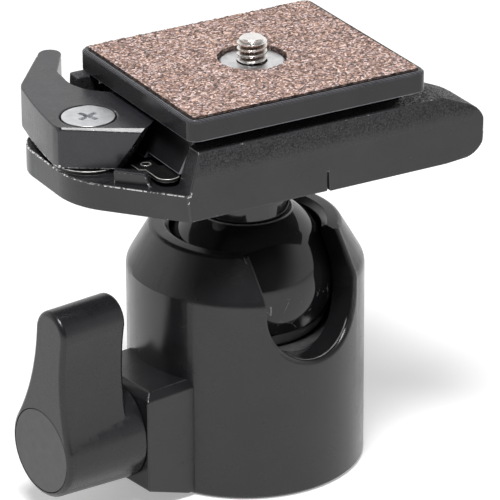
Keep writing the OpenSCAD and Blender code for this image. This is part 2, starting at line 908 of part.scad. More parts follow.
module lever() {
  color([0.42, 0.42, 0.44])
    at_pivot()
      difference() {
        translate([0, 0, lever_z]) linear_extrude(lever_t) lever_plan();
        jaw_cut();
        rotate([0, 0, face_angle + 90])
          translate([0, -lever_face, lever_top]) rotate([45, 0, 0])
            translate([-far / 2, -far / 2, -lever_bevel / sqrt(2)]) cube(far);
        translate([0, 0, lever_z - tiny]) cylinder(d = spring_pocket_d, h = spring_pocket_h);
        translate([0, 0, lever_z - tiny]) cylinder(d = sleeve_d + 2 * slip, h = far);
        translate([0, 0, sleeve_top - slip]) cylinder(d = pivot_head_d + 2 * head_gap, h = far);
      }
}

// Sprung catch strip on the shelf, bent up to a raised tongue
module catch_strip() {
  tongue = catch_bend + catch_ramp;
  color([0.55, 0.55, 0.56])
    on_clamp()
      difference() {
        intersection() {
          translate([catch_x + catch_w / 2, 0, shelf_z]) rotate([90, 0, -90])
            linear_extrude(catch_w)
              polygon([
                [-catch_foot_y, 0],
                [catch_bend, 0],
                [tongue, catch_rise - catch_t],
                [far, catch_rise - catch_t],
                [far, catch_rise],
                [tongue - catch_t / 4, catch_rise],
                [catch_bend - catch_t / 4, catch_t],
                [-catch_foot_y, catch_t]
              ]);
          union() {
            translate([catch_x, catch_y, 0]) cylinder(d = catch_w, h = far);
            translate([catch_x - catch_w / 2, catch_y, 0]) cube([catch_w, far, far]);
          }
        }
        translate([catch_x, catch_rivet_y, 0]) cylinder(d = catch_rivet_d + 2 * press, h = far);
      }
}

module catch_rivet() {
  foot = clamp_z + catch_rivet_z;
  color("silver")
    on_clamp() translate([catch_x, catch_rivet_y, foot])
      cylinder(d = catch_rivet_d, h = shelf_z + catch_t - foot);
}

// ---------------------------------------------------------------- plate

module rounded_slab(l, w, h, r) {
  linear_extrude(h) {
    square([l - 2 * r, w], center = true);
    square([l, w - 2 * r], center = true);
    for (x = [-1, 1])
      for (y = [-1, 1])
        translate([x * (l / 2 - r), y * (w / 2 - r)]) circle(r = r);
  }
}

// Inset of one step of the flange's bevel, over both sides
function flange_inset(i) = 2 * flange_bevel * (i + 0.5) / bevel_steps;

module qr_plate() {
  color([0.20, 0.20, 0.21])
    at_screw()
      difference() {
        union() {
          translate([0, 0, flange_z])
            rounded_slab(plate_l, plate_w, flange_t - flange_bevel, plate_corner);
          for (i = [0:bevel_steps - 1])
            translate([0, 0, plate_top - flange_bevel - tiny])
              rounded_slab(
                plate_l - flange_inset(i), plate_w - flange_inset(i),
                flange_bevel * (i + 1) / bevel_steps + tiny, plate_corner - flange_inset(i) / 2);
          translate([0, block_w / 2, 0]) rotate([90, 0, 0])
            linear_extrude(block_w)
              polygon([
                [-block_l / 2 - block_drop, bed_z], [block_l / 2 + block_drop, bed_z],
                [block_l / 2, flange_z + tiny], [-block_l / 2, flange_z + tiny]
              ]);
        }
        translate([catch_x + catch_w / 2 + gap - screw_x - far, catch_foot_y + gap - far, bed_z - tiny])
          cube([far, far, shelf_z + catch_rise + gap - bed_z + tiny]);
        translate([0, 0, plate_top - cork_bed])
          rounded_slab(
            plate_l - 2 * cork_margin, plate_w - 2 * cork_margin, far, plate_corner - cork_margin);
        translate([0, 0, disc_z]) cylinder(d = disc_d + 2 * press, h = far);
        cylinder(d = screw_d + 2 * slip, h = far);
        translate([0, 0, bed_z - tiny]) cylinder(d = head_pocket_d, h = head_pocket_h + tiny);
        translate([0, 0, clip_z - press])
          cylinder(d = clip_d + 2 * press, h = clip_t + 2 * press);
      }
}

module cork_pad() {
  color([0.62, 0.45, 0.36])
    at_screw() translate([0, 0, plate_top - cork_bed])
      difference() {
        rounded_slab(
          plate_l - 2 * cork_margin - 2 * press, plate_w - 2 * cork_margin - 2 * press,
          cork_bed + cork_proud, plate_corner - cork_margin);
        translate([0, 0, -tiny]) cylinder(d = cork_hole_d, h = far);
      }
}

module screw_disc() {
  color("lightgray")
    at_screw() translate([0, 0, disc_z]) ring(disc_d, screw_d + 2 * slip, disc_t);
}

module camera_screw() {
  thread_z = cork_top + screw_neck_gap;
  tip_z = plate_top + screw_h - screw_tip;
  color("silver")
    at_screw()
      difference() {
        union() {
          translate([0, 0, head_z]) cylinder(d = screw_head_d, h = screw_head_t);
          translate([0, 0, head_z]) cylinder(d = screw_neck_d, h = thread_z - head_z);
          translate([0, 0, thread_z]) cylinder(d = screw_d, h = tip_z - thread_z);
          translate([0, 0, tip_z]) cylinder(d1 = screw_d, d2 = screw_d - 2 * screw_tip, h = screw_tip);
        }
        translate([0, 0, head_z])
          cube([screw_head_d + 1, screw_slot_w, 2 * screw_slot_h], center = true);
      }
}

// Open snap ring in the pocket's wall that keeps the camera screw in the plate
module screw_clip() {
  color("silver")
    at_screw() translate([0, 0, clip_z])
      difference() {
        ring(clip_d, screw_head_d - 2 * clip_ledge, clip_t);
        translate([0, -clip_mouth / 2, -tiny]) cube([clip_d, clip_mouth, clip_t + 2 * tiny]);
      }
}

housing();
base_plate();
thread_bush();
base_screws();
cup_spring();
pressure_cup();
cup_liner();
boss_bush();
knob_washer();
clamp_spindle();
knob_insert();
knob_nut();
knob_body();
knob_cap();
ball();
neck();
stem_screw();
clamp_body();
lever_pivot();
lever_shim();
lever_spring();
lever_screw();
lever();
catch_strip();
catch_rivet();
trip_pin();
trip_spring();
trip_plug();
qr_plate();
cork_pad();
screw_disc();
camera_screw();
screw_clip();
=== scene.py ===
from math import acos, atan2, cos, hypot, inf, pi, radians, sin, sqrt, tan

import bmesh
import bpy
from bpy.props import FloatProperty, FloatVectorProperty, PointerProperty
from mathutils import Matrix, Vector, noise
from mathutils.bvhtree import BVHTree
from mathutils.geometry import intersect_point_line
from mathutils.kdtree import KDTree


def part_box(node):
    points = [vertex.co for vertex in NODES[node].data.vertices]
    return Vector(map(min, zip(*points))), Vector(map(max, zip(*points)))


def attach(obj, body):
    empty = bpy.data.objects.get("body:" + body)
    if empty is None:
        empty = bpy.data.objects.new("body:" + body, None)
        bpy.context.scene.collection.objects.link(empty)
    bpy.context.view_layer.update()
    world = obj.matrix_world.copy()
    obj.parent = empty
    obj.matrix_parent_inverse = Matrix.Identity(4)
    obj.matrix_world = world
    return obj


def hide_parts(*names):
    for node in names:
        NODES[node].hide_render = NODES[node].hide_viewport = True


bl_info = {
    "name": "Tripod ball head",
    "version": (1, 0, 0),
    "blender": (4, 5, 0),
    "location": "View3D > Sidebar > Ball Head",
    "description": "Dresses the solids of a tripod ball head with rounded edges and finishes",
    "category": "Object",
}

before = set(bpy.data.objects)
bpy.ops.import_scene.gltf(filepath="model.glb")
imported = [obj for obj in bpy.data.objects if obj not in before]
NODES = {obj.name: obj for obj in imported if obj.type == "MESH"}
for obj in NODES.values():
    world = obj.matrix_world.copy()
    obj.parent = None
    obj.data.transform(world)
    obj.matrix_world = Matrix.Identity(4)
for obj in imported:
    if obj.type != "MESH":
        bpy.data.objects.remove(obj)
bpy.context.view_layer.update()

MM = 0.001
WELD = 2e-6                     # distance under which the solids' points are one point
FLAT_ANGLE = radians(0.4)       # faces closer than this in direction are one flat face
EDGE_ANGLE = radians(24)        # edges sharper than this get rounded
CREASE_ANGLE = radians(38)      # edges sharper than this stay sharp in the shading
STRAIGHT = 0.9                  # cosine over which two edges run on as one
ROUNDING_TRIES = 7
ROUNDING_SHRINK = 0.6           # share that is left of a rounding's width after a bad try


# ---------------------------------------------------------------- settings

def length(name, text, default, top=0.2):
    return FloatProperty(name=name, description=text, default=default, min=0.0, max=top,
                         precision=5, subtype="DISTANCE", unit="LENGTH")


def position(name, text, default):
    return FloatVectorProperty(name=name, description=text, default=default, size=3,
                               subtype="XYZ", unit="LENGTH")


def angle(name, text, default):
    return FloatProperty(name=name, description=text, default=radians(default),
                         subtype="ANGLE", unit="ROTATION")


def share(name, text, default, top=1.0):
    return FloatProperty(name=name, description=text, default=default, min=0.0, max=top,
                         subtype="FACTOR")


def colour(name, text, default):
    return FloatVectorProperty(name=name, description=text, default=default, size=3,
                               min=0.0, max=1.0, subtype="COLOR")


class BALLHEAD_PG_studio(bpy.types.PropertyGroup):
    """Camera, floor, room and lamp."""
    aim: position("Aim", "Point that the camera looks at", (0.0, 0.0, 0.05))
    distance: length("Distance", "Distance of the camera from its aim", 0.91244, 5.0)
    azimuth: angle("Azimuth", "Direction of the camera round the head", -38.0)
    elevation: angle("Elevation", "Height of the camera as an angle", 24.02)
    roll: angle("Roll", "Roll of the camera", -0.28)
    lens: FloatProperty(name="Lens", description="Focal length on a 36 mm sensor",
                        default=308.76, min=10.0, max=800.0, unit="CAMERA")
    shift: FloatVectorProperty(name="Shift", description="Shift of the lens to the right and up",
                               default=(0.00996, -0.02846), size=2)
    floor_colour: colour("Floor", "Colour of the floor", (0.80, 0.80, 0.80))
    floor_size: length("Floor size", "Side of the square floor", 6.0, 20.0)
    floor_glow: share("Floor glow", "Light that the floor adds for the camera", 0.35)
    room_level: share("Room", "Brightness of the white room", 1.0, 2.0)
    dark_level: share("Dark side", "Brightness of the dark side behind the camera", 0.10, 2.0)
    top_level: share("Ceiling", "Brightness of the ceiling as a share of the room's", 0.3)
    key_power: FloatProperty(name="Key", description="Power of the soft box above",
                             default=14.0, min=0.0, max=200.0, unit="POWER")
    key_size: length("Key size", "Side of the soft box above", 0.4, 5.0)
    key_place: position("Key place", "Place of the soft box above", (-0.354, -0.332, 1.14))


class BALLHEAD_PG_casting(bpy.types.PropertyGroup):
    """Painted castings: housing, clamp, lever and plate."""
    paint: colour("Paint", "Colour of the satin black paint", (0.014, 0.014, 0.0155))
    lever_paint: colour("Lever paint", "Colour of the lever's paint", (0.022, 0.022, 0.026))
    bare_metal_and_highlight: colour("Worn metal", "Colour of the metal where the paint is worn", (0.78, 0.77, 0.76))
    roughness: share("Roughness", "Roughness of the paint", 0.24)
    sheen: share("Sheen", "Strength of the paint's reflections", 0.52)
    grain: length("Grain", "Size of the paint's grain", 0.00045, 0.01)
    round_edge: length("Edge", "Rounding of the castings' edges", 0.0004, 0.005)
    shoulder_round: length("Shoulder", "Rounding where the shoulder starts", 0.004, 0.01)
    rim_round: length("Rim", "Rounding of the mouth's edges", 0.0007, 0.005)
    boss_round: length("Boss", "Rounding of the boss's edges", 0.0004, 0.005)
    notch_round: length("Notch", "Rounding of the drop notch's edge", 0.0011, 0.0012)
    lever_round: length("Lever", "Rounding of the lever's upright edges", 0.0010, 0.005)


class BALLHEAD_PG_knob(bpy.types.PropertyGroup):
    """Moulded wing knob and its cap."""
    plastic: colour("Plastic", "Colour of the wing knob", (0.015, 0.015, 0.017))
    cap: colour("Cap", "Colour of the cap", (0.055, 0.055, 0.056))
    roughness: share("Roughness", "Roughness of the plastic", 0.26)
    sheen: share("Sheen", "Strength of the plastic's reflections", 0.46)


class BALLHEAD_PG_top(bpy.types.PropertyGroup):
    """Cork, steel disc and camera screw."""
    cork: colour("Cork", "Colour of the cork", (0.35, 0.235, 0.20))
    cork_dark: colour("Dark cork", "Colour of the cork's dark grains", (0.10, 0.055, 0.04))
    cork_pale: colour("Pale cork", "Colour of the cork's pale grains", (0.92, 0.75, 0.70))
    cork_grain: length("Grain", "Size of the cork's grains", 0.00042, 0.01)
    cork_fray: length("Fray", "Depth of the cork's ragged edge", 0.00022, 0.001)
    thread_pitch: length("Pitch", "Pitch of the camera screw's thread", 0.00127, 0.005)
    steel: colour("Steel", "Colour of the camera screw", (0.97, 0.94, 0.91))
    disc: colour("Disc", "Colour of the disc round the screw", (0.84, 0.83, 0.84))
    zinc: colour("Zinc", "Colour of the lever's screw", (0.80, 0.81, 0.83))


class BALLHEAD_PG_settings(bpy.types.PropertyGroup):
    """All settings of the ball head."""
    studio: PointerProperty(type=BALLHEAD_PG_studio)
    casting: PointerProperty(type=BALLHEAD_PG_casting)
    knob: PointerProperty(type=BALLHEAD_PG_knob)
    top: PointerProperty(type=BALLHEAD_PG_top)


def settings():
    return bpy.context.scene.ball_head


# ---------------------------------------------------------------- meshes

def new_piece(name, bm, *materials):
    """Makes an object of the mesh bm, with its materials in order."""
    mesh = bpy.data.meshes.new(name)
    bm.to_mesh(mesh)
    bm.free()
    for material in materials:
        mesh.materials.append(material)
    piece = bpy.data.objects.new(name, mesh)
    bpy.context.scene.collection.objects.link(piece)
    return piece


def seat(piece, body, slot, *nodes):
    """Hangs a piece on its body in place of the solids that it stands for."""
    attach(piece, body)
    if nodes:
        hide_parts(*nodes)


def solid_mesh(node):
    """The node's solid as one welded mesh with undivided flat faces."""
    source = NODES[node].data
    bm = bmesh.new()
    points = [bm.verts.new(v.co) for v in source.vertices]
    for face in source.polygons:
        corners = [points[i] for i in face.vertices]
        if len(set(corners)) > 2:
            bm.faces.new(corners)
    bmesh.ops.remove_doubles(bm, verts=bm.verts, dist=WELD)
    bmesh.ops.dissolve_limit(bm, angle_limit=FLAT_ANGLE, verts=bm.verts, edges=bm.edges)
    bmesh.ops.recalc_face_normals(bm, faces=bm.faces)
    return bm


def cut_level(bm, z, **options):
    """Cuts the whole mesh along a level plane."""
    bmesh.ops.bisect_plane(bm, geom=bm.verts[:] + bm.edges[:] + bm.faces[:],
                           plane_co=(0, 0, z), plane_no=(0, 0, 1), **options)


def second_finish(piece, belongs):
    """Gives the piece's second material to the faces that belongs(face) picks."""
    for face in piece.data.polygons:
        face.material_index = int(belongs(face))


def bake_modifiers(piece):
    """Turns the piece's modifiers into its mesh."""
    bpy.context.view_layer.update()
    graph = bpy.context.evaluated_depsgraph_get()
    mesh = bpy.data.meshes.new_from_object(piece.evaluated_get(graph), depsgraph=graph,
                                           preserve_all_data_layers=True)
    piece.modifiers.clear()
    old = piece.data
    piece.data = mesh
    bpy.data.meshes.remove(old)
    mesh.name = piece.name


def smooth_shading(piece, crease=CREASE_ANGLE):
    piece.data.shade_smooth()
    piece.data.set_sharp_from_angle(angle=crease)
    weighted = piece.modifiers.new("weighted normals", "WEIGHTED_NORMAL")
    weighted.keep_sharp = True
    weighted.mode = "FACE_AREA_WITH_ANGLE"
    bake_modifiers(piece)


def middle_of(edge):
    return (edge.verts[0].co + edge.verts[1].co) / 2


def chains_of(edges):
    """Maps each sharp edge to the smooth chain of edges that it belongs to."""
    chain = {edge: [edge] for edge in edges}
    for edge in edges:
        for v in edge.verts:
            along = (edge.other_vert(v).co - v.co).normalized()
            for other in v.link_edges:
                if other in chain and chain[other] is not chain[edge]:
                    onward = (other.other_vert(v).co - v.co).normalized()
                    if onward.dot(along) < -STRAIGHT:
                        chain[edge].extend(chain[other])
                        for member in chain[other]:
                            chain[member] = chain[edge]
    return chain


def room_beside(edge):
    """How wide an edge can be rounded before it meets what crosses it or lies beside it."""
    crossing_share, parallel_share = 0.45, 0.46
    start, end = (v.co for v in edge.verts)
    along = (end - start).normalized()
    room = inf
    for v in edge.verts:
        for other in v.link_edges:
            across = other.other_vert(v).co - v.co
            if abs(across.normalized().dot(along)) < STRAIGHT:
                room = min(room, across.length * crossing_share)
    for loop in edge.link_loops:
        here = loop.link_loop_next.vert.co - loop.vert.co
        for other in loop.face.loops:
            there = other.link_loop_next.vert.co - other.vert.co
            if there.dot(here) < -0.5 * there.length * here.length:
                middle = other.vert.co + there / 2
                opposite, share_of_edge = intersect_point_line(middle, start, end)
                if -0.5 < share_of_edge < 1.5:
                    room = min(room, (middle - opposite).length * parallel_share)
    return room


def misplaced(mesh, tree, width):
    """Places where a rounding has thrown points off the solid or turned faces over."""
    farthest = 0.6 * width          # from the solid to a point of a good rounding
    sliver, largest = 1e-10, 20 * width ** 2        # areas of a rounding's faces
    places = [v.co.copy() for v in mesh.vertices if tree.find_nearest(v.co)[3] > farthest]
    for face in mesh.polygons:
        if sliver < face.area < largest:
            normal = tree.find_nearest(face.center)[1]
            if normal.dot(face.normal) < -0.3:
                places.append(face.center.copy())
    return places


def bevel_weighted(piece, width, material):
    """Rounds the piece's weighted edges; material is the rounding's slot, or -1 for its own."""
    bevel = piece.modifiers.new("rounding", "BEVEL")
    bevel.limit_method = "WEIGHT"
    bevel.width = width
    bevel.segments = 3
    bevel.use_clamp_overlap = False
    bevel.miter_outer = "MITER_ARC"
    bevel.material = material
    bake_modifiers(piece)


def soften(piece, radius, widths=None, edge_finish=None):
    """Rounds outer edges: widths(middle, along) gives a radius, zero, or None for the usual.

    Where a rounding goes wrong, its chain of edges is rounded less and all is tried again.
    """
    if edge_finish:
        piece.data.materials.append(edge_finish)
    bm = bmesh.new()
    bm.from_mesh(piece.data)
    tree = BVHTree.FromBMesh(bm)
    weight = bm.edges.layers.float.new("bevel_weight_edge")
    wanted = {}
    for edge in bm.edges:
        if len(edge.link_faces) == 2 and edge.is_convex and edge.calc_face_angle(0.0) > EDGE_ANGLE:
            along = edge.verts[1].co - edge.verts[0].co
            width = widths(middle_of(edge), along) if widths else None
            if width != 0:
                wanted[edge] = min(width or radius, room_beside(edge))
    sharp = list(wanted)
    chain = chains_of(sharp)
    wanted = {edge: min(wanted[member] for member in chain[edge]) for edge in sharp}
    widest = max(wanted.values())
    middles = KDTree(len(sharp))
    for i, edge in enumerate(sharp):
        middles.insert(middle_of(edge), i)
    middles.balance()
    flat_mesh = piece.data
    best = None
    for _ in range(ROUNDING_TRIES):
        for edge, width in wanted.items():
            edge[weight] = width / widest
        piece.data = flat_mesh.copy()
        bm.to_mesh(piece.data)
        bevel_weighted(piece, widest, 1 if edge_finish else -1)
        faults = misplaced(piece.data, tree, widest)
        if best is None or len(faults) < best[0]:
            best = (len(faults), piece.data)
        if not faults:
            break
        shrunk = {id(chain[sharp[i]]) for fault in faults
                  for _, i, gap in middles.find_n(fault, 3) if gap < 4 * widest}
        for edge in sharp:
            if id(chain[edge]) in shrunk:
                wanted[edge] *= ROUNDING_SHRINK
    bm.free()
    piece.data = best[1]
    smooth_shading(piece)


def dress(name, node, body, slot, finish, radius, **rounding):
    """Puts a finished piece with rounded edges in the place of a solid."""
    piece = new_piece(name, solid_mesh(node), finish)
    soften(piece, radius, **rounding)
    seat(piece, body, slot, node)


def fray(bm, depth):
    """Breaks up the edges of a sheet: its outline is divided and pushed in unevenly."""
    step, tear, crumb = 0.25 * MM, 0.45 * MM, 0.2 * MM
    at_foot = 0.35                  # share of the depth that the lower edge gets
    low = min(v.co.z for v in bm.verts)
    high = max(v.co.z for v in bm.verts)
    rims = [e for e in bm.edges if abs(e.verts[0].co.z - e.verts[1].co.z) < WELD
            and e.calc_face_angle(0.0) > EDGE_ANGLE]
    for edge in sorted(rims, key=lambda e: -e.calc_length()):
        cuts = int(edge.calc_length() / step)
        if cuts:
            bmesh.ops.subdivide_edges(bm, edges=[edge], cuts=cuts)
    bm.normal_update()
    for v in bm.verts:
        sides = [f.normal for f in v.link_faces if abs(f.normal.z) < 0.5]
        if sides:
            inward = -sum(sides, Vector()).normalized()
            upper = (v.co.z - low) / (high - low)
            ragged = 0.5 + noise.noise(v.co / tear) + 0.5 * noise.noise(v.co / crumb)
            push = depth * min(1, max(0, ragged)) * (at_foot + (1 - at_foot) * upper)
            v.co += inward * push
            v.co.z -= 0.5 * push * upper


def ring_points(radius, height, steps):
    """Points of a level circle about the upright axis."""
    turns = (2 * pi * i / steps for i in range(steps))
    return [Vector((radius * cos(a), radius * sin(a), height)) for a in turns]


def revolve(profile, centre, steps):
    """Surface of revolution of (radius, height) points; points on the axis close it."""
    bm = bmesh.new()
    rows = []
    for radius, height in profile:
        points = ring_points(radius, height, steps) if radius else [Vector((0, 0, height))]
        rows.append([bm.verts.new(point + centre) for point in points])
    skin_rows(bm, rows)
    return bm


def skin_rows(bm, rows):
    """Joins rings of points with faces; a row of one point closes the surface."""
    for low, high in zip(rows, rows[1:]):
        count = max(len(low), len(high))
        for i in range(count):
            j = (i + 1) % count
            if len(low) == 1:
                bm.faces.new((low[0], high[j], high[i]))
            elif len(high) == 1:
                bm.faces.new((low[i], low[j], high[0]))
            else:
                bm.faces.new((low[i], low[j], high[j], high[i]))
    bmesh.ops.recalc_face_normals(bm, faces=bm.faces)


# ---------------------------------------------------------------- materials

class Nodes:
    """A node tree under construction."""

    def __init__(self, owner):
        owner.use_nodes = True
        self.tree = owner.node_tree

    def feed(self, value, socket):
        """Links a socket to a node's output, or sets it to a colour, a vector or a number."""
        if isinstance(value, bpy.types.NodeSocket):
            self.tree.links.new(value, socket)
        elif hasattr(value, "__len__"):
            socket.default_value = (*value, 1)[:len(socket.default_value)]
        else:
            socket.default_value = value

    def node(self, kind, inputs=(), **choices):
        """Adds a node and feeds its inputs, which are named or numbered."""
        node = self.tree.nodes.new(kind)
        for name, choice in choices.items():
            setattr(node, name, choice)
        for key, value in dict(inputs).items():
            self.feed(value, node.inputs[key])
        return node

    def math(self, operation, *values):
        return self.node("ShaderNodeMath", enumerate(values), operation=operation).outputs[0]

    def fade(self, value, start, end, low=0.0, high=1.0):
        """A smooth step from low to high as the value goes from start to end."""
        return self.node("ShaderNodeMapRange", enumerate((value, start, end, low, high)),
                         interpolation_type="SMOOTHSTEP").outputs["Result"]


class Paint(Nodes):
    """A material under construction: noise, ramps and bump in the piece's own space."""

    def __init__(self, name, base, roughness, metallic=0.0, specular=0.5):
        self.material = bpy.data.materials.new(name)
        self.material.diffuse_color = (*base, 1)
        super().__init__(self.material)
        self.set("Base Color", base)
        self.set("Roughness", roughness)
        self.set("Metallic", metallic)
        self.set("Specular IOR Level", specular)
        self.place = self.node("ShaderNodeTexCoord").outputs["Object"]
        self.last_normal = None

    def set(self, name, value):
        """Feeds one of the shader's own sockets."""
        self.feed(value, self.tree.nodes["Principled BSDF"].inputs[name])

    def seen_from(self, point, scale=(1, 1, 1)):
        """The piece's own space, measured from a point."""
        mapping = {"Vector": self.place, "Location": [-c for c in point], "Scale": scale}
        return self.node("ShaderNodeMapping", mapping).outputs["Vector"]

    def coordinates(self):
        """The x, y and z of a point at rest."""
        return self.node("ShaderNodeSeparateXYZ", {"Vector": self.place}).outputs

    def noise(self, size, detail=2.0, roughness=0.5, offset=0.0):
        """Noise whose features measure about size metres; values gather round one half."""
        return self.node("ShaderNodeTexNoise", {
            "Vector": self.seen_from((-offset,) * 3) if offset else self.place,
            "Scale": 1 / size, "Detail": detail, "Roughness": roughness}).outputs["Fac"]

    def clouds(self, size, detail, roughness, low, high, stops=(0.3, 0.7), offset=0.0):
        """Levels or colours from low to high in clouds of about size metres."""
        return self.ramp(self.noise(size, detail, roughness, offset),
                         (stops[0], low), (stops[1], high))

    def cells(self, size, feature="F1", output="Color"):
        place = {"Vector": self.place, "Scale": 1 / size}
        return self.node("ShaderNodeTexVoronoi", place, feature=feature).outputs[output]

    def seams(self, size, width):
        """One on the seams between cells, fading to nothing at a share of their size."""
        return self.ramp(self.cells(size, "DISTANCE_TO_EDGE", "Distance"), (0.0, 1.0), (width, 0.0))

    def ramp(self, value, *stops):
        ramp = self.node("ShaderNodeValToRGB", {"Fac": value})
        elements = ramp.color_ramp.elements
        while len(elements) < len(stops):
            elements.new(0.5)
        for element, (at, level) in zip(elements, stops):
            element.position = at
            element.color = (*level, 1) if hasattr(level, "__len__") else (level,) * 3 + (1,)
        return ramp.outputs["Color"]

    def mix(self, factor, a, b, blend="MIX"):
        return self.node("ShaderNodeMix", {"Factor": factor, 6: a, 7: b},
                         data_type="RGBA", blend_type=blend).outputs[2]

    def bump(self, height, distance):
        """Stacks a bump whose full height is distance metres."""
        bump = {"Height": height, "Distance": distance, "Strength": 1.0}
        if self.last_normal:
            bump["Normal"] = self.last_normal
        self.last_normal = self.node("ShaderNodeBump", bump).outputs["Normal"]
        self.set("Normal", self.last_normal)

    def finished(self, colour, roughness=None):
        """Links the colour and, where it varies, the roughness, and gives the material."""
        self.set("Base Color", colour)
        if roughness:
            self.set("Roughness", roughness)
        return self.material

    def between(self, low, high, fade=None):
        """One between two heights; it fades over fade metres or a fifth of their distance."""
        fade = fade or (high - low) / 5
        z = self.coordinates()["Z"]
        return self.math("MULTIPLY", self.fade(z, low - fade, low), self.fade(z, high + fade, high))


def tint(base, factor):
    return tuple(min(1.0, c * factor) for c in base)


def satin_paint(name, base, dull=0.0, lumps=0.0, worn=None, cast=None, sheen=None):
    """Satin paint with a fine orange peel, over a casting with lumps of a given height.

    dull is added to the usual roughness. worn and cast are the heights (low, high) between
    which the paint is chipped, or is thin and shows the casting's pores.
    """
    casting = settings().casting
    grain, roughness = casting.grain, casting.roughness + dull
    paint = Paint(name, base, roughness, specular=sheen or casting.sheen)
    shade = paint.clouds(9 * MM, 3.0, 0.55, tint(base, 0.86), tint(base, 1.16), offset=3.1)
    gloss = paint.clouds(4 * MM, 4.0, 0.6, roughness - 0.035, roughness + 0.045, offset=7.7)
    if worn:
        specks = paint.noise(0.9 * MM, 4.0, 0.7, offset=1.3)
        chance = paint.math("MULTIPLY_ADD", paint.between(*worn), 0.155, specks)
        chips = paint.ramp(chance, (0.64, 0.0), (0.68, 1.0))
        shade = paint.mix(chips, shade, casting.bare_metal_and_highlight)
        paint.set("Metallic", paint.math("MULTIPLY", chips, 0.9))
    if cast:
        zone = paint.between(*cast, fade=4 * MM)
        pores = paint.clouds(grain, 4.0, 0.8, 0.75, 0.0, (0.46, 0.54), offset=4.0)
        gloss = paint.math("MULTIPLY_ADD", pores, zone, gloss)
        pits = paint.noise(grain, 3.0, 0.7, offset=9.0)
        paint.bump(paint.math("MULTIPLY", pits, zone), 0.3 * MM)
    paint.bump(paint.noise(grain, 3.0, 0.6), 0.012 * MM)
    if lumps:
        paint.bump(paint.noise(1.1 * MM, 5.0, 0.65, offset=5.0), lumps)
    return paint.finished(shade, gloss)


def moulded(name, base, roughness):
    """Moulded plastic with a fine spark texture."""
    plastic = Paint(name, base, roughness, specular=settings().knob.sheen)
    plastic.bump(plastic.noise(0.35 * MM, 2.0, 0.6), 0.012 * MM)
    return plastic.finished(
        plastic.clouds(6 * MM, 3.0, 0.6, tint(base, 0.9), tint(base, 1.12)),
        plastic.clouds(3 * MM, 4.0, 0.6, roughness - 0.04, roughness + 0.05, offset=2.0))


def turned(name, base, roughness, centre, axis="Z", metallic=1.0):
    """A turned face: fine rings about an axis through centre."""
    pitch = 0.44 * MM
    own_pitch = 2 * pi / 20         # of the texture's rings at a scale of one
    disc = Paint(name, base, roughness, metallic)
    rings = disc.node("ShaderNodeTexWave", {
        "Vector": disc.seen_from(centre), "Scale": own_pitch / pitch, "Distortion": 0.6,
        "Detail": 1.0}, wave_type="RINGS", rings_direction=axis, wave_profile="SIN")
    disc.bump(rings.outputs["Fac"], 0.004 * MM)
    disc.bump(disc.noise(0.5 * MM, 2.0, 0.6), 0.004 * MM)
    return disc.finished(
        disc.clouds(2.2 * MM, 4.0, 0.65, tint(base, 0.82), tint(base, 1.1)),
        disc.clouds(1.2 * MM, 4.0, 0.7, roughness - 0.06, roughness + 0.08, offset=4.0))


def plated(name, base, roughness):
    """Plated metal with faint clouds and handling marks."""
    metal = Paint(name, base, roughness, 1.0)
    metal.bump(metal.noise(0.4 * MM, 3.0, 0.6), 0.005 * MM)
    return metal.finished(
        metal.clouds(2.8 * MM, 5.0, 0.65, tint(base, 0.8), tint(base, 1.12), (0.3, 0.72)),
        metal.clouds(0.9 * MM, 5.0, 0.7, roughness - 0.07, roughness + 0.1, offset=4.0))


def threaded(name, base, roughness, centre, root, crest, tip):
    """Plated thread about an upright axis through centre: painted brown shade darkens it towards
    the roots, and the crests and tip keep the plain colour.
    """
    tip_height = 0.5 * MM
    metal = Paint(name, base, roughness, 1.0)
    radius = metal.node("ShaderNodeVectorMath", {0: metal.seen_from(centre, (1, 1, 0))},
                        operation="LENGTH").outputs["Value"]
    rise = metal.math("DIVIDE", metal.math("SUBTRACT", radius, root), crest - root)
    rise = metal.math("MAXIMUM", rise, metal.between(tip - tip_height, tip + tip_height))
    # Darker and browner from the crests down to the roots: painted shade in the thread's grooves.
    shade = metal.ramp(rise, (0.0, (0.20, 0.15, 0.12)), (0.5, tint(base, 0.7)), (0.95, base))
    metal.bump(metal.noise(0.4 * MM, 3.0, 0.6), 0.005 * MM)
    return metal.finished(
        metal.mix(1.0, shade, metal.clouds(2.2 * MM, 5.0, 0.65, 0.85, 1.08), "MULTIPLY"),
        metal.clouds(0.9 * MM, 5.0, 0.7, roughness - 0.05, roughness + 0.08, offset=4.0))


def blackened(name, base, bare_metal_and_highlight=None):
    """Blackened steel; given a second colour, it is rubbed bright in patches: worn bare metal that
    also stands in as a painted highlight.
    """
    metal = Paint(name, base, 0.3, 0.5)
    shade = metal.clouds(2 * MM, 4.0, 0.65, tint(base, 0.7), tint(base, 1.3), offset=2.0)
    if bare_metal_and_highlight:
        shade = metal.mix(metal.clouds(1.3 * MM, 4.0, 0.6, 0.0, 0.9, (0.14, 0.54)), shade, bare_metal_and_highlight)
    metal.bump(metal.noise(0.4 * MM, 3.0, 0.6), 0.006 * MM)
    return metal.finished(shade, metal.clouds(1 * MM, 4.0, 0.7, 0.24, 0.4, offset=4.0))


def polished(name, base, roughness, specular=0.5, scratched=None):
    """Polished black anodising with faint wipe marks.

    scratched gives the heights (low, high) between which it has short hair lines.
    """
    coat = Paint(name, base, roughness, specular=specular)
    shade = coat.clouds(8 * MM, 3.0, 0.6, tint(base, 0.85), tint(base, 1.15))
    if scratched:
        patches = coat.clouds(2.2 * MM, 2.0, 0.5, 0.0, 1.0, (0.53, 0.59), offset=6.0)
        zone = coat.math("MULTIPLY", patches, coat.between(*scratched))
        lines = coat.math("MULTIPLY", coat.seams(4.5 * MM, 0.012), zone)
        shade = coat.mix(lines, shade, (0.24, 0.24, 0.24))
    coat.bump(coat.noise(1.2 * MM, 2.0, 0.5), 0.0015 * MM)
    return coat.finished(shade, coat.clouds(2 * MM, 5.0, 0.7, roughness - 0.03, roughness + 0.06,
                                            (0.35, 0.75), offset=1.0))


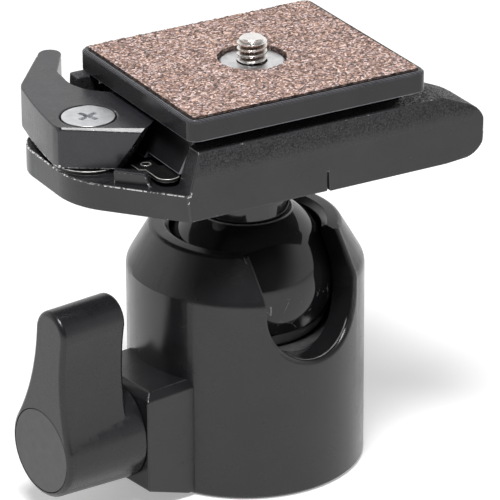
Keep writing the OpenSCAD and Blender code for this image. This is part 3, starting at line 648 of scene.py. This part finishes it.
def polymer(name, base, roughness):
    """Bearing plastic, slightly waxy."""
    plastic = Paint(name, base, roughness)
    plastic.bump(plastic.noise(0.6 * MM, 2.0, 0.5), 0.005 * MM)
    return plastic.finished(
        plastic.clouds(4 * MM, 4.0, 0.6, tint(base, 0.9), tint(base, 1.08)),
        plastic.clouds(2 * MM, 4.0, 0.6, roughness - 0.05, roughness + 0.07, offset=1.7))


def cork_material(name, level):
    """Pressed cork: brown grains of many shades, dark gaps and pale flecks."""
    top = settings().top
    grain, fleck, pit = top.cork_grain, top.cork_grain * 0.6, top.cork_grain * 0.8
    base, dark, pale = (tint(c, level) for c in (top.cork, top.cork_dark, top.cork_pale))
    cork = Paint(name, base, 0.82)
    chance = cork.node("ShaderNodeSeparateColor", {"Color": cork.cells(grain)}).outputs
    shade = cork.ramp(chance["Red"], (0.0, tint(base, 0.12)), (0.25, tint(base, 0.6)),
                      (0.7, tint(base, 1.45)), (1.0, pale))
    hue = cork.ramp(chance["Green"], (0.2, (0.95, 1.0, 1.1)), (0.8, (1.10, 0.98, 0.86)))
    shade = cork.mix(1.0, shade, hue, "MULTIPLY")
    fine = cork.clouds(fleck, 5.0, 0.75, 0.3, 1.7, (0.36, 0.66))
    shade = cork.mix(1.0, shade, fine, "MULTIPLY")
    gaps = cork.math("MULTIPLY", cork.seams(grain, 0.05), 0.55)
    pits = cork.math("MULTIPLY", cork.clouds(pit, 4.0, 0.6, 0.0, 1.0, (0.62, 0.70), 2.2), 0.8)
    cork.bump(cork.noise(fleck, 4.0, 0.6, offset=1.0), 0.12 * MM)
    cork.bump(cork.cells(grain, "SMOOTH_F1", "Distance"), 0.06 * MM)
    return cork.finished(cork.mix(cork.math("MAXIMUM", gaps, pits), shade, dark))


# ---------------------------------------------------------------- operators

class BALLHEAD_OT_stage(bpy.types.Operator):
    """Adds the camera, the floor, the white room and the lamp"""
    bl_idname = "ballhead.stage"
    bl_label = "Stage"

    floor_gap = 0.02 * MM       # keeps the floor's face off the base

    def execute(self, context):
        studio = settings().studio
        scene = context.scene
        scene.view_settings.view_transform = "Standard"
        self.add_camera(studio, scene)
        self.add_floor(studio)
        self.add_world(studio, scene)
        self.add_lamp(studio, scene)
        return {"FINISHED"}

    def add_camera(self, studio, scene):
        data = bpy.data.cameras.new("camera")
        data.sensor_width = 36
        data.sensor_fit = "HORIZONTAL"
        data.lens = studio.lens
        data.shift_x, data.shift_y = studio.shift
        data.clip_start = 0.05
        data.clip_end = 20
        camera = bpy.data.objects.new("camera", data)
        camera.matrix_world = (Matrix.Translation(studio.aim)
                               @ Matrix.Rotation(studio.azimuth, 4, "Z")
                               @ Matrix.Rotation(pi / 2 - studio.elevation, 4, "X")
                               @ Matrix.Rotation(studio.roll, 4, "Z")
                               @ Matrix.Translation((0, 0, studio.distance)))
        scene.collection.objects.link(camera)
        scene.camera = camera

    def add_floor(self, studio):
        pale = studio.floor_colour
        paper = Paint("studio paper", pale, 0.9)
        shade = paper.clouds(30 * MM, 3.0, 0.5, tint(pale, 0.985), tint(pale, 1.015))
        paper.bump(paper.noise(1.6 * MM, 2.0, 0.5), 0.02 * MM)
        paper.set("Emission Color", (1, 1, 1))
        path = paper.node("ShaderNodeLightPath").outputs
        seen = paper.math("MAXIMUM", path["Is Camera Ray"], path["Is Glossy Ray"])
        paper.set("Emission Strength", paper.math("MULTIPLY", seen, studio.floor_glow))
        bm = bmesh.new()
        bmesh.ops.create_grid(bm, x_segments=1, y_segments=1, size=studio.floor_size / 2)
        floor = new_piece("floor", bm, paper.finished(shade))
        floor.location.z = -self.floor_gap

    def add_world(self, studio, scene):
        """A white room with a dark side behind the camera; the camera itself sees plain white."""
        scene.world = bpy.data.worlds.new("white room")
        room = Nodes(scene.world)
        background = room.tree.nodes["Background"]
        room.feed((1, 1, 1), background.inputs["Color"])
        direction = room.node("ShaderNodeTexCoord").outputs["Generated"]

        def towards(vector):
            """How far the direction points along a vector."""
            return room.node("ShaderNodeVectorMath", {0: vector, 1: direction},
                             operation="DOT_PRODUCT").outputs["Value"]

        behind = room.fade(towards((-0.50, -0.65, 0.57)), 0.15, 0.75,
                           studio.room_level, studio.dark_level)
        above = room.fade(towards((0, 0, 1)), 0.40, 0.80, 1.0, studio.top_level)
        camera_ray = room.node("ShaderNodeLightPath").outputs["Is Camera Ray"]
        level = room.math("MAXIMUM", room.math("MULTIPLY", behind, above), camera_ray)
        room.feed(level, background.inputs["Strength"])

    def add_lamp(self, studio, scene):
        light = bpy.data.lights.new("soft box above", "AREA")
        light.size = studio.key_size
        light.energy = studio.key_power
        lamp = bpy.data.objects.new("soft box above", light)
        lamp.location = studio.key_place
        facing = Vector(studio.aim) - lamp.location
        lamp.rotation_euler = facing.to_track_quat("-Z", "Y").to_euler()
        scene.collection.objects.link(lamp)


def round_corner(u, w, wide, radius):
    """Moves a point of a stepped corner, at depths u and w from two faces, onto a round edge."""
    turn = atan2(wide - w, wide - u) / (pi / 2)
    flat = 0.15                 # share of the steps that goes to each of the two faces
    if turn < flat:
        return 0, wide - (wide - radius) * turn / flat
    if turn > 1 - flat:
        return wide - (wide - radius) * (1 - turn) / flat, 0
    a = (turn - flat) / (1 - 2 * flat) * pi / 2
    return radius - radius * cos(a), radius - radius * sin(a)


class BALLHEAD_OT_housing(bpy.types.Operator):
    """Adds the painted housing with its rounded shoulder, rim and drop notch"""
    bl_idname = "ballhead.housing"
    bl_label = "Housing"

    notch_r = 11.45 * MM
    notch_z = 41.8 * MM
    notch_y = -14 * MM          # the notch is cut through the wall in front of this
    lip = 1.2 * MM
    side_r = 25.5 * MM
    hollow_r = 18 * MM          # edges nearer to the axis are inside the housing
    rim_r = 20.3 * MM
    shoulder_z = 45 * MM
    rim_z = 54 * MM
    boss_x = -24 * MM           # the boss stands out beyond this
    boss_top = 30 * MM
    near = 0.1 * MM             # distance under which a point counts as on a face

    def beside_notch(self, x, z):
        """Depth of a point behind the notch's wall, and the direction into the metal there."""
        if z < self.notch_z:
            out = Vector((x, 0, z - self.notch_z))
            return out.length - self.notch_r, out.normalized()
        return abs(x) - self.notch_r, Vector((1 if x > 0 else -1, 0, 0))

    def smooth_lip(self, bm, radius):
        """Rounds the stepped lip of the drop notch."""
        slope = Vector((self.rim_z - self.shoulder_z, self.side_r - self.rim_r)).normalized()
        on_face, off_corner, step = 1e-6, 0.02 * MM, 0.3 * MM
        for v in bm.verts:
            x, y, z = v.co
            if y > self.notch_y:
                continue
            u, along_u = self.beside_notch(x, z)
            r = hypot(x, y)
            radial = Vector((x, y, 0)) / r
            side = self.side_r - r
            cone = side * slope.x + (self.shoulder_z - z) * slope.y
            if z < self.shoulder_z + step and side <= cone:
                w, along_w = side, -radial
            else:
                w, along_w = cone, -(radial * slope.x + Vector((0, 0, slope.y)))
            inside = all(-on_face < depth < self.lip - on_face for depth in (u, w))
            if inside and u + w > off_corner:
                u2, w2 = round_corner(max(u, 0), max(w, 0), self.lip, radius)
                v.co += along_u * (u2 - u) + along_w * (w2 - w)
                v.co.z = min(v.co.z, self.rim_z)

    def round_shoulder(self, bm, radius):
        """Rounds the edge between the housing's side and its sloped shoulder."""
        lean = atan2(self.side_r - self.rim_r, self.rim_z - self.shoulder_z)
        reach = radius * tan(lean / 2)
        start = self.shoulder_z - reach
        steps, skin, inner_r = 8, 2 * MM, 20 * MM
        for i in range(steps + 1):
            cut_level(bm, start + radius * sin(lean * i / steps), dist=1e-6)
        for v in bm.verts:
            r = hypot(v.co.x, v.co.y)
            up = v.co.z - start
            if 0 < up < radius * sin(lean) and r > inner_r and v.co.x > self.boss_x:
                plain = self.side_r - max(0, v.co.z - self.shoulder_z) * tan(lean)
                inset = radius - sqrt(radius ** 2 - up ** 2) - (self.side_r - plain)
                fade = max(0, 1 - (plain - r) / skin)
                if v.co.y < self.notch_y and abs(v.co.x) < self.notch_r + self.lip:
                    v.co.y += inset * fade * r / -v.co.y      # keeps the notch's walls flat
                else:
                    v.co.x *= 1 - inset * fade / r
                    v.co.y *= 1 - inset * fade / r

    def wall_finish(self, radius):
        """Black wall with a painted highlight: a pale grey line where the cut meets the rounded
        lip, near the notch's foot.
        """
        black, bare_metal_and_highlight = (0.010, 0.010, 0.011), (0.24, 0.235, 0.23)
        wall = Paint("notch wall", black, 0.18)
        x, y, z = wall.coordinates()
        square = wall.math("ADD", wall.math("POWER", x, 2), wall.math("POWER", y, 2))
        r = wall.math("SQRT", square)
        above = wall.math("MAXIMUM", wall.math("SUBTRACT", z, self.shoulder_z), 0)
        lean = (self.side_r - self.rim_r) / (self.rim_z - self.shoulder_z)
        depth = wall.math("SUBTRACT", self.side_r, wall.math("MULTIPLY_ADD", above, lean, r))
        # Pale grey in patches along the lip, only near the foot of the notch: a painted highlight.
        painted_highlight = wall.ramp(wall.math("DIVIDE", depth, 2 * radius), (0.44, 0.0), (0.50, 1.0),
                         (0.60, 1.0), (0.66, 0.0))
        patches = wall.clouds(3 * MM, 3.0, 0.6, 0.4, 1.0, (0.35, 0.6))
        painted_highlight = wall.math("MULTIPLY", painted_highlight, patches)
        foot = self.notch_z - self.notch_r
        painted_highlight = wall.math("MULTIPLY", painted_highlight, wall.between(foot - self.lip, foot + 4 * self.lip))
        wall.bump(wall.noise(0.8 * MM, 3.0, 0.5), 0.004 * MM)
        return wall.finished(wall.mix(painted_highlight, black, bare_metal_and_highlight),
                             wall.clouds(2 * MM, 4.0, 0.6, 0.15, 0.24, offset=1.0))

    def on_wall(self, face):
        """Whether a face is part of the notch's wall."""
        x, y, z = face.center
        u, along_u = self.beside_notch(x, z)
        return y < self.notch_y and abs(u) < self.near and face.normal.dot(along_u) < -0.95

    def widths(self, middle, along):
        """Roundings by place: none at the notch, and their own at the mouth and on the boss."""
        casting = settings().casting
        if middle.y < self.notch_y and middle.z > self.notch_z - self.notch_r - 2 * self.lip:
            if abs(self.beside_notch(middle.x, middle.z)[0]) < 1.5 * self.lip:
                return 0
        if middle.z > self.rim_z - 2 * self.lip:
            return casting.rim_round
        if middle.z < self.near or hypot(middle.x, middle.y) < self.hollow_r:
            return casting.round_edge / 2
        if middle.x < self.boss_x and middle.z < self.boss_top:
            return casting.boss_round
        return None

    def execute(self, context):
        casting = settings().casting
        bm = solid_mesh("housing")
        self.smooth_lip(bm, casting.notch_round)
        self.round_shoulder(bm, casting.shoulder_round)
        piece = new_piece("housing_shell", bm,
                          satin_paint("satin black casting", casting.paint),
                          self.wall_finish(casting.notch_round))
        second_finish(piece, self.on_wall)
        soften(piece, casting.round_edge, self.widths)
        seat(piece, "base", "black_casting", "housing")
        return {"FINISHED"}


class BALLHEAD_OT_ball(bpy.types.Operator):
    """Adds the polished ball"""
    bl_idname = "ballhead.ball"
    bl_label = "Ball"

    def execute(self, context):
        centre, radius = Vector((0, 0, 41 * MM)), 19 * MM
        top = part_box("ball")[1].z
        flat = top - centre.z
        start = acos(flat / radius)
        ring = radius * sin(start)
        bead = 0.28 * MM            # width of the edge round the flat
        rows, steps = 90, 144
        gap = 0.01                  # angle between the edge and the first row
        turns = (start + gap + (pi - start) * i / rows for i in range(rows))
        profile = [(0, flat), (ring - bead, flat), (ring - bead / 3, flat - bead / 6)]
        profile += [(radius * sin(a), radius * cos(a)) for a in turns] + [(0, -radius)]
        coat = polished("polished black", (0.008, 0.008, 0.009), 0.06,
                        scratched=(35 * MM, 42 * MM))
        ball = new_piece("ball_sphere", revolve(profile, centre, steps), coat,
                         plated("bare edge", (0.90, 0.89, 0.88), 0.5))
        second_finish(ball, lambda face: bead / 40 < top - face.center.z < bead / 2.5)
        smooth_shading(ball, radians(12))
        seat(ball, "ball", "polished_black", "ball")
        return {"FINISHED"}


class BALLHEAD_OT_castings(bpy.types.Operator):
    """Adds the clamp, the lever, the plate, the neck and the base plate"""
    bl_idname = "ballhead.castings"
    bl_label = "Clamp, lever and plate"

    def execute(self, context):
        casting = settings().casting
        base, lever, edge = casting.paint, casting.lever_paint, casting.round_edge
        finishes = {
            "clamp": satin_paint("satin black clamp", tint(base, 1.35), lumps=0.04 * MM,
                                 cast=(80.5 * MM, 84 * MM)),
            "lever": satin_paint("satin lever paint", lever, 0.03, lumps=0.03 * MM),
            "plate": satin_paint("satin black plate", base, -0.02, lumps=0.02 * MM, sheen=0.42),
            "neck": polished("polished neck", (0.02, 0.02, 0.021), 0.07, 0.62),
        }
        edges = {
            # The clamp's and base plate's rounded edges are painted 2.4 times lighter than their
            # paint, a painted highlight along every edge, and are chipped to bare metal between 74
            # and 75 mm.
            "clamp": satin_paint("worn clamp edges with painted highlight", tint(base, 2.4), worn=(74 * MM, 75 * MM)),
            "lever": satin_paint("worn lever edges", lever, worn=(75.2 * MM, 76.2 * MM)),
            # The plate's rounded edges are painted a light grey: a painted highlight along its rim.
            "plate": satin_paint("plate edges with painted highlight", tint(base, 11), -0.02),
        }
        pieces = (
            # name, node, finish, body, slot, rounding
            ("clamp_casting", "clamp_body", "clamp", "head", "black_casting", edge),
            ("lever_casting", "lever", "lever", "lever", "lever_paint", edge * 1.2),
            ("plate_casting", "qr_plate", "plate", "head", "black_casting", edge),
            ("neck_turning", "neck", "neck", "head", "black_casting", edge * 0.5),
            ("base_plate_casting", "base_plate", "clamp", "base", "black_casting", edge * 0.6),
        )
        for name, node, finish, body, slot, radius in pieces:
            bm = solid_mesh(node)
            if node == "lever":
                self.narrow_chamfer(bm)
            piece = new_piece(name, bm, finishes[finish])
            soften(piece, radius, self.lever_widths if node == "lever" else None,
                   edges.get(finish))
            seat(piece, body, slot, node)
        return {"FINISHED"}

    def narrow_chamfer(self, bm):
        """Moves both edges of the chamfer round the lever's top nearer to its corner."""
        share_moved = 0.45
        least, deepest, widest = 0.2 * MM, 1.2 * MM, 1.6 * MM       # limits of the chamfer
        top = max(v.co.z for v in bm.verts)
        rim = [v for v in bm.verts if top - v.co.z < 0.01 * MM]
        foot = [v for v in bm.verts if least < top - v.co.z < deepest]
        moves = {}
        for v in rim:
            for edge in v.link_edges:
                other = edge.other_vert(v)
                if other in foot:
                    drop = Vector((other.co.x - v.co.x, other.co.y - v.co.y, 0))
                    if least < drop.length < widest:
                        moves[v] = drop * share_moved
                        moves[other] = Vector((0, 0, (top - other.co.z) * share_moved))
        for v, move in moves.items():
            v.co += move

    def lever_widths(self, middle, along):
        """Upright and slanting edges of the lever are rounder than the others."""
        if abs(along.normalized().z) > 0.3:
            return settings().casting.lever_round
        return None


class BALLHEAD_OT_knob(bpy.types.Operator):
    """Adds the wing knob and its cap"""
    bl_idname = "ballhead.knob"
    bl_label = "Knob"

    def execute(self, context):
        knob = settings().knob
        axis = (0, 0, 16 * MM)
        wing = new_piece("knob_wing", solid_mesh("knob_body"),
                         moulded("knob plastic", knob.plastic, knob.roughness))
        smooth_shading(wing)
        seat(wing, "knob", "knob_plastic", "knob_body")
        dress("knob_cap_disc", "knob_cap", "knob", "cap_plastic",
              turned("cap plastic", knob.cap, 0.4, axis, "X", metallic=0.0), 0.2 * MM)
        return {"FINISHED"}


class BALLHEAD_OT_top(bpy.types.Operator):
    """Adds the cork pad, the disc and the camera screw"""
    bl_idname = "ballhead.top"
    bl_label = "Cork and camera screw"

    thread_r = 3.175 * MM
    thread_foot = 89.6 * MM     # height at which the thread starts
    shank_foot = 3 * MM         # above the screw's lowest point
    head_top = 4.4 * MM         # above the same point

    def execute(self, context):
        top = settings().top
        self.add_cork(top)
        low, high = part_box("screw_disc")
        middle = (low + high) / 2
        dress("disc_ring", "screw_disc", "head", "disc_steel",
              turned("turned disc", top.disc, 0.34, (middle.x, middle.y, 0)), 0.12 * MM)
        low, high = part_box("camera_screw")
        self.add_thread(top, low, high)
        self.add_screw_head(top, low)
        return {"FINISHED"}

    def add_cork(self, top):
        """The pad, with a painted shade: its cut face round the edge is darker."""
        bm = solid_mesh("cork_pad")
        fray(bm, top.cork_fray)
        cork = new_piece("cork_sheet", bm, cork_material("pressed cork", 1),
                         cork_material("cork side with painted shade", 0.3))
        # Faces that don't face up get the cork at 0.3 of its brightness: a painted shade on the
        # pad's side.
        second_finish(cork, lambda face: face.normal.z < 0.7)
        smooth_shading(cork)
        seat(cork, "head", "cork", "cork_pad")

    def add_thread(self, top, low, high):
        """The camera screw's relieved shank and its rolled thread with a round tip."""
        centre = Vector(((low.x + high.x) / 2, (low.y + high.y) / 2, 0))
        r, pitch = self.thread_r, top.thread_pitch
        root = r - 0.58 * pitch
        start, end = self.thread_foot, high.z
        trough, flank = 0.12, 0.72          # shares of the wave's height
        tip_height, tip_share, run_out = 0.8 * MM, 0.72, 0.5 * MM
        steps, rows = 96, 84
        bm = bmesh.new()
        grid = []
        for j in range(rows + 1):
            z = start + (end - start) * j / rows
            row = []
            for i in range(steps):
                a = 2 * pi * i / steps
                phase = (z / pitch - a / (2 * pi)) % 1
                wave = 0.5 - 0.5 * cos(2 * pi * phase)
                radius = root + (r - root) * min(1, max(0, (wave - trough) / flank))
                below = (end - z) / tip_height
                if below < 1:
                    radius = min(radius, r * (tip_share + (1 - tip_share) * below))
                above = (z - start) / run_out
                if above < 1:
                    radius = min(radius, root + (r - root) * above)
                row.append(bm.verts.new(centre + Vector((radius * cos(a), radius * sin(a), z))))
            grid.append(row)
        foot_z = low.z + self.shank_foot
        shank = [bm.verts.new(centre + point) for point in ring_points(root, foot_z, steps)]
        foot = bm.verts.new(centre + Vector((0, 0, foot_z)))
        tip = bm.verts.new(centre + Vector((0, 0, end)))
        skin_rows(bm, [[foot], shank] + grid + [[tip]])
        stud = new_piece("camera_screw_thread", bm,
                         threaded("bright thread", top.steel, 0.24, centre, root, r, end))
        smooth_shading(stud, radians(40))
        seat(stud, "camera_screw", "steel")

    def add_screw_head(self, top, low):
        """The camera screw's slotted head, cut off from its solid."""
        head = solid_mesh("camera_screw")
        cut_level(head, low.z + self.head_top, clear_outer=True)
        bmesh.ops.holes_fill(head, edges=[e for e in head.edges if e.is_boundary])
        piece = new_piece("camera_screw_head", head, plated("bright screw", top.steel, 0.32))
        soften(piece, 0.2 * MM)
        seat(piece, "camera_screw", "steel", "camera_screw")


class BALLHEAD_OT_fittings(bpy.types.Operator):
    """Gives the screws, springs, bushes and liners their metal and plastic finishes"""
    bl_idname = "ballhead.fittings"
    bl_label = "Fittings"

    def execute(self, context):
        zinc = plated("zinc plate", settings().top.zinc, 0.34)
        steel = plated("bright steel", (0.56, 0.55, 0.54), 0.3)
        nickel = plated("nickel plate", (0.60, 0.58, 0.54), 0.24)
        brass = plated("turned brass", (0.70, 0.52, 0.24), 0.3)
        spring = plated("spring steel", (0.42, 0.42, 0.43), 0.36)
        liner = polymer("bearing polymer", (0.62, 0.60, 0.52), 0.5)
        cup = plated("cast cup", (0.45, 0.45, 0.46), 0.48)
        finishes = {
            "thread_bush": brass, "boss_bush": brass, "knob_insert": brass,
            "base_screws": zinc, "knob_nut": zinc,
            "cup_spring": spring, "lever_spring": spring, "trip_spring": spring,
            "pressure_cup": cup, "cup_liner": liner, "knob_washer": liner,
            "clamp_spindle": steel, "stem_screw": steel, "lever_pivot": steel,
            "trip_pin": nickel, "trip_plug": steel, "screw_clip": spring,
        }
        for node, finish in finishes.items():
            mesh = NODES[node].data
            mesh.materials.clear()
            mesh.materials.append(finish)
        black = blackened("blackened steel", (0.022, 0.021, 0.021))
        # Pale patches on the rounded edges of the black small parts: worn bare metal, and a painted
        # highlight along those edges.
        rubbed_and_highlighted = blackened("rubbed steel", (0.05, 0.05, 0.05), (0.85, 0.84, 0.82))
        small_parts = (
            # name, node, finish, slot, rounding
            ("pivot_screw_head", "lever_screw", zinc, "zinc", 0.12 * MM),
            ("pivot_shim", "lever_shim", black, "steel", 0.12 * MM),
            ("catch_tongue", "catch_strip", black, "steel", 0.15 * MM),
            ("catch_rivet_head", "catch_rivet", black, "steel", 0.15 * MM),
        )
        for name, node, finish, slot, radius in small_parts:
            dress(name, node, "head", slot, finish, radius,
                  edge_finish=rubbed_and_highlighted if finish is black else None)
        return {"FINISHED"}


class BALLHEAD_PT_panel(bpy.types.Panel):
    """Lists the ball head's pieces and settings"""
    bl_idname = "BALLHEAD_PT_panel"
    bl_label = "Ball Head"
    bl_space_type = "VIEW_3D"
    bl_region_type = "UI"
    bl_category = "Ball Head"

    def draw(self, context):
        layout = self.layout
        for operator in OPERATORS:
            layout.operator(operator.bl_idname)
        for name in ("studio", "casting", "knob", "top"):
            group = getattr(settings(), name)
            box = layout.box()
            box.label(text=name.capitalize())
            for key in group.__annotations__:
                box.prop(group, key)


OPERATORS = (
    BALLHEAD_OT_stage, BALLHEAD_OT_housing, BALLHEAD_OT_ball, BALLHEAD_OT_castings,
    BALLHEAD_OT_knob, BALLHEAD_OT_top, BALLHEAD_OT_fittings,
)
CLASSES = (
    BALLHEAD_PG_studio, BALLHEAD_PG_casting, BALLHEAD_PG_knob, BALLHEAD_PG_top,
    BALLHEAD_PG_settings, *OPERATORS, BALLHEAD_PT_panel,
)


def register():
    for cls in CLASSES:
        bpy.utils.register_class(cls)
    bpy.types.Scene.ball_head = PointerProperty(type=BALLHEAD_PG_settings)


def unregister():
    del bpy.types.Scene.ball_head
    for cls in reversed(CLASSES):
        bpy.utils.unregister_class(cls)


def main():
    register()
    for operator in OPERATORS:
        group, name = operator.bl_idname.split(".")
        if getattr(getattr(bpy.ops, group), name)() != {"FINISHED"}:
            raise RuntimeError(operator.bl_label + " did not finish")


if __name__ == "__main__":
    main()
